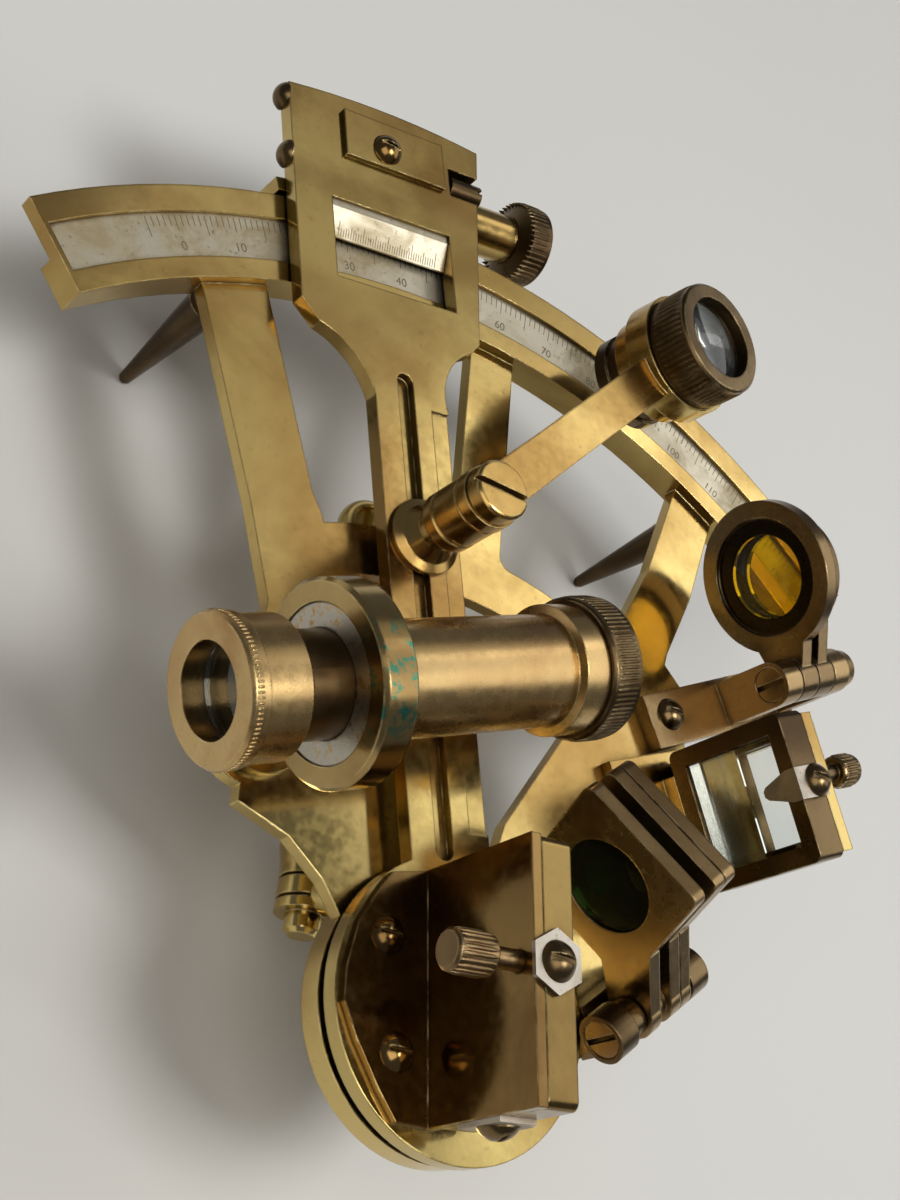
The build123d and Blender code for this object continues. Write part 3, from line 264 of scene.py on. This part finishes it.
silverLook = {
    "stainScale": 95, "speckScale": 1300, "grainScale": 2200, "cornerReach": 1.2,
    "metallic": 0.85,
}
scaleSilver = stainedMetal("scaleSilver", {
    **silverLook,
    "clean": (0.68, 0.63, 0.50), "stained": (0.40, 0.33, 0.20), "speckAndShade": (0.11, 0.08, 0.04),
})
clipNickel = stainedMetal("clipNickel", {
    **silverLook, "metallic": 1.0,
    "clean": (0.50, 0.46, 0.40), "stained": (0.34, 0.29, 0.22), "speckAndShade": (0.12, 0.09, 0.055),
})
scaleInk = stainedMetal("scaleInk", {
    **silverLook,
    "clean": (0.20, 0.17, 0.115), "stained": (0.24, 0.195, 0.13), "speckAndShade": (0.06, 0.045, 0.03),
})


# Clear glass: coloured for the shades, nearly colourless for the lenses
def clearGlass(name, look):
    made, tree, surface, coords = startMaterial(name)
    smears = spread(tree, noiseAt(tree, coords, look["smearScale"], 4), 0.35, 0.75,
                    0.02, look["haze"])
    tree.links.new(smears, surface.inputs["Roughness"])
    cloudy = spread(tree, noiseAt(tree, coords, look["cloudScale"]), 0.3, 0.7)
    tint = mixColour(tree, cloudy, look["tint"], look["deep"])
    tree.links.new(tint, surface.inputs["Base Color"])
    surface.inputs["Transmission Weight"].default_value = 1.0
    surface.inputs["IOR"].default_value = 1.5
    return made


glassLook = {"smearScale": 300, "cloudScale": 120, "haze": 0.06}
greenGlass = clearGlass("greenGlass", {
    **glassLook, "tint": (0.045, 0.17, 0.025), "deep": (0.03, 0.115, 0.015),
})
yellowGlass = clearGlass("yellowGlass", {
    **glassLook, "tint": (0.72, 0.56, 0.05), "deep": (0.56, 0.41, 0.03),
})
lensGlass = clearGlass("lensGlass", {
    **glassLook, "tint": (0.93, 0.97, 0.95), "deep": (0.88, 0.94, 0.91),
})


# Silvered glass, with a few spots where the silver has gone
def silveredGlass(name, look):
    made, tree, surface, coords = startMaterial(name)
    spots = spread(tree, noiseAt(tree, coords, look["spotScale"], 5, 0.7), 0.62, 0.72)
    tree.links.new(mixColour(tree, spots, look["silver"], look["foxed"]),
                   surface.inputs["Base Color"])
    surface.inputs["Metallic"].default_value = 1.0
    tree.links.new(spread(tree, spots, 0, 1, 0.03, 0.3), surface.inputs["Roughness"])
    return made


mirrorSilver = silveredGlass("mirrorSilver", {
    "silver": (0.86, 0.88, 0.86), "foxed": (0.25, 0.22, 0.16), "spotScale": 420,
})
print("glass and silver made")


# Which finish each piece of the instrument takes
finishOf = {
    flangeBrass: ["index_mirror_bracket", "arm_screws"],
    shadedDrawTubeBrass: ["draw_tube"],
    wornBrass: ["frame", "handle_grip", "handle_posts", "magnifier_post", "magnifier_arm",
                "magnifier_screw", "telescope_post", "tangent_block", "horizon_mirror_bracket",
                "pivot_axle"],
    armBrass: ["index_arm", "cover_plate", "limb_clamp"],
    tubeBrass: ["telescope_tube", "eyepiece_cup"],
    collarBrass: ["telescope_ring"],
    shadedTrayBrass: ["index_mirror_tray"],
    darkBrass: ["foot_left", "foot_right", "foot_rear", "tangent_screw", "clamp_screw",
                "magnifier_cell", "notch_screw", "side_screws", "index_clip_screws",
                "horizon_screws", "objective_cell", "pivot_nut", "pivot_washer",
                "horizon_adjuster", "horizon_mirror_tray", "index_shade_bracket"],
    shadeBrass: ["index_adjuster", "horizon_shade_bracket", "horizon_shade_pin",
                 "index_shade_pin", "index_shade_1", "index_shade_2", "index_shade_3"],
    scaleSilver: ["silver_scale", "vernier_scale"],
    dishBrass: ["horizon_shade_1", "horizon_shade_2"],
    clipNickel: ["index_mirror_clips", "horizon_mirror_clip"],
    greenGlass: ["index_glass_1", "index_glass_2", "index_glass_3"],
    yellowGlass: ["horizon_glass_1", "horizon_glass_2"],
    lensGlass: ["magnifier_lens", "objective_lens", "eyepiece_lens", "horizon_mirror"],
    mirrorSilver: ["index_mirror", "horizon_silvering"],
}
for finish, names in finishOf.items():
    for name in names:
        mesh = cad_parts[name].data
        mesh.materials.clear()
        mesh.materials.append(finish)
print("pieces given a finish:", sum(len(names) for names in finishOf.values()))


# Places that the added pieces sit on, in millimetres
def along(azimuth, distance, start=(0, 0)):
    turn = radians(azimuth)
    return (start[0] + distance * cos(turn), start[1] + distance * sin(turn))


armAzimuth = 101.2


def onArm(x, y):
    turn = radians(armAzimuth - 90)
    return (x * cos(turn) - y * sin(turn), x * sin(turn) + y * cos(turn))


# Shape trees: their inputs first, then one solid and its material at the end
def startTree(name, inputs):
    tree = bpy.data.node_groups.new(name, "GeometryNodeTree")
    for label, (kind, value) in inputs.items():
        socket = tree.interface.new_socket(label, in_out="INPUT", socket_type=kind)
        if value is not None:
            socket.default_value = value
    tree.interface.new_socket("Geometry", in_out="OUTPUT", socket_type="NodeSocketGeometry")
    return tree, addNode(tree, "NodeGroupInput").outputs


def endTree(tree, geometry, material):
    solid = addNode(tree, "GeometryNodeRealizeInstances", {"Geometry": geometry})
    painted = addNode(tree, "GeometryNodeSetMaterial", {
        "Geometry": solid.outputs[0], "Material": material,
    })
    out = addNode(tree, "NodeGroupOutput")
    tree.links.new(painted.outputs[0], out.inputs[0])


# One ring of ridges round an axis, as a knurling wheel leaves them
def ridgeTree():
    tree, given = startTree("ridgeRing", {
        "Count": ("NodeSocketInt", 60), "Radius": ("NodeSocketFloat", 5 * mm),
        "Length": ("NodeSocketFloat", 3 * mm), "Width": ("NodeSocketFloat", 0.4 * mm),
        "Place": ("NodeSocketVector", (0, 0, 0)), "Turn": ("NodeSocketRotation", (0, 0, 0)),
        "Metal": ("NodeSocketMaterial", None),
    })
    top = addNode(tree, "ShaderNodeCombineXYZ", {"Z": given["Length"]})
    line = addNode(tree, "GeometryNodeCurvePrimitiveLine", {"End": top.outputs[0]})
    line = addNode(tree, "GeometryNodeResampleCurve", {"Curve": line.outputs[0], "Count": 6})
    where = addNode(tree, "GeometryNodeSplineParameter").outputs["Factor"]
    fromMiddle = arithmetic(tree, "ABSOLUTE", arithmetic(tree, "SUBTRACT", where, 0.5), 0.0)
    thick = spread(tree, fromMiddle, 0.5, 0.35, 0.35, 1.0)
    half = arithmetic(tree, "MULTIPLY", given["Width"], 0.5)
    rim = addNode(tree, "GeometryNodeCurvePrimitiveCircle", {"Resolution": 6, "Radius": half})
    bar = addNode(tree, "GeometryNodeCurveToMesh", {
        "Curve": line.outputs[0], "Profile Curve": rim.outputs[0], "Scale": thick,
        "Fill Caps": True,
    })
    ring = addNode(tree, "GeometryNodeMeshCircle", {
        "Vertices": given["Count"], "Radius": given["Radius"],
    })
    index = addNode(tree, "GeometryNodeInputIndex").outputs[0]
    step = arithmetic(tree, "DIVIDE", arithmetic(tree, "MULTIPLY", index, tau), given["Count"])
    facing = addNode(tree, "ShaderNodeCombineXYZ", {"Z": step})
    copies = addNode(tree, "GeometryNodeInstanceOnPoints", {
        "Points": ring.outputs[0], "Instance": bar.outputs[0], "Rotation": facing.outputs[0],
    })
    placed = addNode(tree, "GeometryNodeTransform", {
        "Geometry": copies.outputs[0], "Translation": given["Place"], "Rotation": given["Turn"],
    })
    endTree(tree, placed.outputs[0], given["Metal"])
    return tree


# A mesh of its own grown by a shape tree
def grow(name, tree, values):
    seedMesh = bpy.data.meshes.new(name + "Seed")
    holder = bpy.data.objects.new(name + "Seed", seedMesh)
    bpy.context.scene.collection.objects.link(holder)
    modifier = holder.modifiers.new("shape", "NODES")
    modifier.node_group = tree
    sockets = {s.name: s.identifier for s in tree.interface.items_tree if s.in_out == "INPUT"}
    for key, value in values.items():
        modifier[sockets[key]] = value
    evaluated = holder.evaluated_get(bpy.context.evaluated_depsgraph_get())
    mesh = bpy.data.meshes.new_from_object(evaluated)
    mesh.name = name
    bpy.data.objects.remove(holder)
    made = bpy.data.objects.new(name, mesh)
    bpy.context.scene.collection.objects.link(made)
    return made


def turnTo(direction):
    return Vector(direction).to_track_quat("Z", "Y").to_euler()


# Axes of the knurled pieces and the points they are measured from
magnifierReach = {"azimuth": 49.2, "length": 40.0, "post": 48.3, "height": 37.75,
                  "leanBy": 6.9, "leanTo": 5}
magnifierAt = along(magnifierReach["azimuth"], magnifierReach["length"],
                    onArm(0, magnifierReach["post"]))
magnifierStart = Vector((*magnifierAt, magnifierReach["height"]))
tip = radians(magnifierReach["leanBy"])
magnifierLean = Vector((*along(magnifierReach["leanTo"], sin(tip)), cos(tip)))
sight = Vector((*along(22, 1), 0))
mirrorLine = Vector((*along(5.5, 1), 0))
horizonLine = Vector((*along(24, 1), 0))
armLine = Vector((*onArm(1, 0), 0))
upright = Vector((0, 0, 1))
sightStart = Vector((-36.5, 17.2, 37.0))
adjusterStart = Vector((*along(95.5, 1.0), 41.1))
horizonAdjusterStart = Vector((*along(114, 0.9, (30.84, 27.57)), 41.6))
screwStart = Vector((*onArm(0, 94.0), 22.0))
clampStart = Vector((*onArm(-1.8, 86.0), 0))
knurls = {
    "magnifierKnurl": {"axis": magnifierLean, "start": magnifierStart,
                       "from": 1.45, "to": 5.55, "radius": 6.6, "count": 64, "width": 0.5,
                       "body": "magnifier_focus", "metal": darkBrass},
    "objectiveKnurl": {"axis": sight, "start": sightStart, "from": 42.2, "to": 45.4,
                       "radius": 7.12, "count": 84, "width": 0.42, "body": "telescope",
                       "metal": darkBrass},
    "eyepieceKnurl": {"axis": sight, "start": sightStart, "from": 0.4, "to": 1.15,
                      "radius": 6.86, "count": 96, "width": 0.28, "body": "eyepiece",
                      "metal": tubeBrass},
    "adjusterKnurl": {"axis": mirrorLine, "start": adjusterStart, "from": -12.3, "to": -8.3,
                      "radius": 1.83, "count": 20, "width": 0.5, "body": "index_adjuster",
                      "metal": shadeBrass},
    "horizonAdjusterKnurl": {"axis": horizonLine, "start": horizonAdjusterStart, "from": 6.4,
                             "to": 8.9, "radius": 1.64, "count": 20, "width": 0.46,
                             "body": "horizon_adjuster", "metal": darkBrass},
    "tangentKnurl": {"axis": armLine, "start": screwStart, "from": 21.0, "to": 24.2,
                     "radius": 4.76, "count": 46, "width": 0.5, "body": "tangent_knob",
                     "metal": darkBrass},
    "clampKnurl": {"axis": upright, "start": clampStart, "from": 15.5, "to": 18.1,
                   "radius": 3.93, "count": 36, "width": 0.6, "body": "clamp_knob",
                   "metal": darkBrass},
}
ridges = ridgeTree()
for name, size in knurls.items():
    place = (size["start"] + size["axis"] * size["from"]) * mm
    ring = grow(name, ridges, {
        "Count": size["count"], "Radius": size["radius"] * mm,
        "Length": (size["to"] - size["from"]) * mm, "Width": size["width"] * mm,
        "Place": tuple(place), "Turn": tuple(turnTo(size["axis"])), "Metal": size["metal"],
    })
    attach(ring, size["body"])
print("knurls cut:", len(knurls))


# Divisions of the two scales: short lines, longer at every fifth and longest at every tenth
def divisionTree():
    tree, given = startTree("divisions", {
        "Count": ("NodeSocketInt", 100), "Radius": ("NodeSocketFloat", 80 * mm),
        "Start": ("NodeSocketFloat", 0.0), "Step": ("NodeSocketFloat", 0.01),
        "Short": ("NodeSocketFloat", 1 * mm), "Middle": ("NodeSocketFloat", 1.5 * mm),
        "Long": ("NodeSocketFloat", 2 * mm), "Every": ("NodeSocketInt", 5),
        "Width": ("NodeSocketFloat", 0.1 * mm), "Depth": ("NodeSocketFloat", 0.02 * mm),
        "Level": ("NodeSocketFloat", 0.0), "Inward": ("NodeSocketFloat", 1.0),
        "Rise": ("NodeSocketFloat", 0.0), "Ink": ("NodeSocketMaterial", None),
    })
    index = addNode(tree, "GeometryNodeInputIndex").outputs[0]
    angle = arithmetic(tree, "ADD", given["Start"],
                       arithmetic(tree, "MULTIPLY", index, given["Step"]))
    east = arithmetic(tree, "MULTIPLY", arithmetic(tree, "COSINE", angle, 0.0), given["Radius"])
    north = arithmetic(tree, "MULTIPLY", arithmetic(tree, "SINE", angle, 0.0), given["Radius"])
    spot = addNode(tree, "ShaderNodeCombineXYZ", {"X": east, "Y": north, "Z": given["Level"]})
    dots = addNode(tree, "GeometryNodePoints", {
        "Count": given["Count"], "Position": spot.outputs[0],
    })
    rest = arithmetic(tree, "MODULO", index, given["Every"])
    fifth = arithmetic(tree, "LESS_THAN", rest, 0.5)
    twice = arithmetic(tree, "MULTIPLY", given["Every"], 2)
    tenth = arithmetic(tree, "LESS_THAN", arithmetic(tree, "MODULO", index, twice), 0.5)
    more = arithmetic(tree, "MULTIPLY", fifth,
                      arithmetic(tree, "SUBTRACT", given["Middle"], given["Short"]))
    most = arithmetic(tree, "MULTIPLY", tenth,
                      arithmetic(tree, "SUBTRACT", given["Long"], given["Middle"]))
    length = arithmetic(tree, "ADD", given["Short"], arithmetic(tree, "ADD", more, most))
    length = arithmetic(tree, "MULTIPLY", length, given["Inward"])
    size = addNode(tree, "ShaderNodeCombineXYZ", {
        "X": length, "Y": given["Width"], "Z": given["Depth"],
    })
    block = addNode(tree, "GeometryNodeMeshCube", {"Size": (1, 1, 1)})
    block = addNode(tree, "GeometryNodeTransform", {
        "Geometry": block.outputs[0], "Translation": (0.5, 0, 0),
    })
    facing = addNode(tree, "ShaderNodeCombineXYZ", {
        "Y": arithmetic(tree, "MULTIPLY", given["Rise"], -1.0), "Z": angle,
    })
    copies = addNode(tree, "GeometryNodeInstanceOnPoints", {
        "Points": dots.outputs[0], "Instance": block.outputs[0], "Rotation": facing.outputs[0],
        "Scale": size.outputs[0],
    })
    endTree(tree, copies.outputs[0], given["Ink"])
    return tree


divisions = divisionTree()
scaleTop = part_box("silver_scale")[1].z
lineDepth = 0.02
limbScale = {"inner": 79.8, "outer": 85.0, "margin": 0.35, "zeroAt": 119.7, "degrees": 140,
             "before": 5, "line": 0.085, "rise": 0.002, "text": 1.5, "textUp": 1.35}
limbMarks = grow("limbDivisions", divisions, {
    "Count": limbScale["degrees"] + limbScale["before"] + 1,
    "Radius": (limbScale["outer"] - limbScale["margin"]) * mm,
    "Start": radians(limbScale["zeroAt"] + limbScale["before"] / 2),
    "Step": radians(-0.5), "Short": 1.2 * mm, "Middle": 1.7 * mm, "Long": 2.3 * mm, "Every": 5,
    "Width": limbScale["line"] * mm, "Depth": lineDepth * mm,
    "Level": scaleTop + limbScale["rise"] * mm, "Inward": -1.0, "Ink": scaleInk,
})
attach(limbMarks, "stand")

# The vernier is straight, so its lines stand on a very wide circle
vernierScale = {"foot": 83.65, "side": -0.45, "level": 25.62, "lines": 41, "pitch": 0.33,
                "line": 0.08, "proud": 0.003, "slope": 21.16, "wide": 5000.0}
pitchTurn = vernierScale["pitch"] / vernierScale["wide"]
vernierMarks = grow("vernierDivisions", divisions, {
    "Count": vernierScale["lines"], "Radius": vernierScale["wide"] * mm,
    "Start": radians(90) + pitchTurn * (vernierScale["lines"] - 1) / 2, "Step": -pitchTurn,
    "Short": 0.9 * mm, "Middle": 1.3 * mm, "Long": 1.7 * mm, "Every": 5,
    "Width": vernierScale["line"] * mm, "Depth": lineDepth * mm,
    "Level": vernierScale["proud"] * mm, "Inward": 1.0,
    "Rise": radians(vernierScale["slope"]), "Ink": scaleInk,
})
vernierMarks.data.transform(
    Matrix.Rotation(radians(armAzimuth - 90), 4, "Z")
    @ Matrix.Translation((vernierScale["side"] * mm,
                          (vernierScale["foot"] - vernierScale["wide"]) * mm,
                          vernierScale["level"] * mm)))
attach(vernierMarks, "index")


letterDepth = 0.008


# Plain numbers at every tenth degree
def numberRow(name, labels, height, level, ink):
    parts = []
    for text, (x, y), turn in labels:
        letters = bpy.data.curves.new(name + text, "FONT")
        letters.body = text
        letters.size = height * mm
        letters.align_x = "CENTER"
        letters.align_y = "CENTER"
        letters.extrude = letterDepth * mm
        holder = bpy.data.objects.new(name + text, letters)
        bpy.context.scene.collection.objects.link(holder)
        evaluated = holder.evaluated_get(bpy.context.evaluated_depsgraph_get())
        mesh = bpy.data.meshes.new_from_object(evaluated)
        mesh.transform(Matrix.Translation((x * mm, y * mm, level)) @ Matrix.Rotation(turn, 4, "Z"))
        bpy.data.objects.remove(holder)
        parts.append(mesh)
    joined = bpy.data.meshes.new(name)
    points, faces = [], []
    for mesh in parts:
        base = len(points)
        points += [tuple(v.co) for v in mesh.vertices]
        faces += [[base + i for i in f.vertices] for f in mesh.polygons]
        bpy.data.meshes.remove(mesh)
    joined.from_pydata(points, [], faces)
    joined.materials.append(ink)
    made = bpy.data.objects.new(name, joined)
    bpy.context.scene.collection.objects.link(made)
    return made


labels = []
for degrees in range(0, limbScale["degrees"] + 1, 10):
    azimuth = limbScale["zeroAt"] - degrees / 2
    labels.append((str(degrees), along(azimuth, limbScale["inner"] + limbScale["textUp"]),
                   radians(azimuth - 90)))
limbNumbers = numberRow("limbNumbers", labels, limbScale["text"], scaleTop, scaleInk)
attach(limbNumbers, "stand")
print("scale divided")


# Paper under the instrument
def paperSheet(size):
    made, tree, surface, coords = startMaterial("paleSheet")
    tint = spread(tree, noiseAt(tree, coords, size["tintScale"], 2), 0.35, 0.65)
    colour = mixColour(tree, tint, size["light"], size["warm"])
    tree.links.new(colour, surface.inputs["Base Color"])
    surface.inputs["Roughness"].default_value = 0.75
    fibres = addNode(tree, "ShaderNodeBump", {
        "Height": noiseAt(tree, coords, size["fibreScale"], 4), "Strength": 0.12,
        "Distance": size["fibreDepth"] * mm,
    })
    tree.links.new(fibres.outputs[0], surface.inputs["Normal"])
    half = size["half"]
    mesh = bpy.data.meshes.new("paleSheet")
    mesh.from_pydata([(-half, -half, 0), (half, -half, 0), (half, half, 0), (-half, half, 0)],
                     [], [(0, 1, 2, 3)])
    mesh.materials.append(made)
    sheet = bpy.data.objects.new("paleSheet", mesh)
    bpy.context.scene.collection.objects.link(sheet)


paperSheet({"half": 2.5, "light": (0.67, 0.675, 0.665), "warm": (0.64, 0.63, 0.60),
            "tintScale": 3.0, "fibreScale": 900, "fibreDepth": 0.05})

# A large window, the ceiling, a dim curtain and the rest of the room
aimPoint = Vector((0.0, 0.04, 0.02))
lamps = {
    "windowLamp": {"azimuth": 20, "height": 38, "away": 1.1, "size": (1.0, 0.60), "power": 2.6,
                   "colour": (1.0, 0.985, 0.95)},
    "ceilingLamp": {"azimuth": 340, "height": 71, "away": 1.1, "size": (0.4, 0.4), "power": 6.2,
                    "colour": (1.0, 0.99, 0.97)},
    "farCurtain": {"azimuth": 56, "height": 44, "away": 0.8, "size": (0.36, 0.28), "power": 0.14,
                   "colour": (1.0, 0.93, 0.84)},
    "roomLamp": {"azimuth": 215, "height": 62, "away": 0.8, "size": (0.6, 0.5), "power": 2.0,
                 "colour": (1.0, 0.93, 0.83)},
}
for name, lamp in lamps.items():
    data = bpy.data.lights.new(name, "AREA")
    data.shape = "RECTANGLE"
    data.size, data.size_y = lamp["size"]
    data.energy = lamp["power"]
    data.color = lamp["colour"]
    made = bpy.data.objects.new(name, data)
    flat = cos(radians(lamp["height"])) * lamp["away"]
    made.location = (*along(lamp["azimuth"], flat), sin(radians(lamp["height"])) * lamp["away"])
    aim = aimPoint - made.location
    made.rotation_euler = aim.to_track_quat("-Z", "Y").to_euler()
    bpy.context.scene.collection.objects.link(made)

room = bpy.data.worlds.new("room")
bpy.context.scene.world = room
room.use_nodes = True
roomTree = room.node_tree
roomTree.nodes.clear()
air = addNode(roomTree, "ShaderNodeBackground", {"Color": (0.93, 0.95, 1.0, 1), "Strength": 0.13})
roomOut = addNode(roomTree, "ShaderNodeOutputWorld")
roomTree.links.new(air.outputs[0], roomOut.inputs[0])
bpy.context.scene.view_settings.view_transform = "Standard"
print("stage lit")
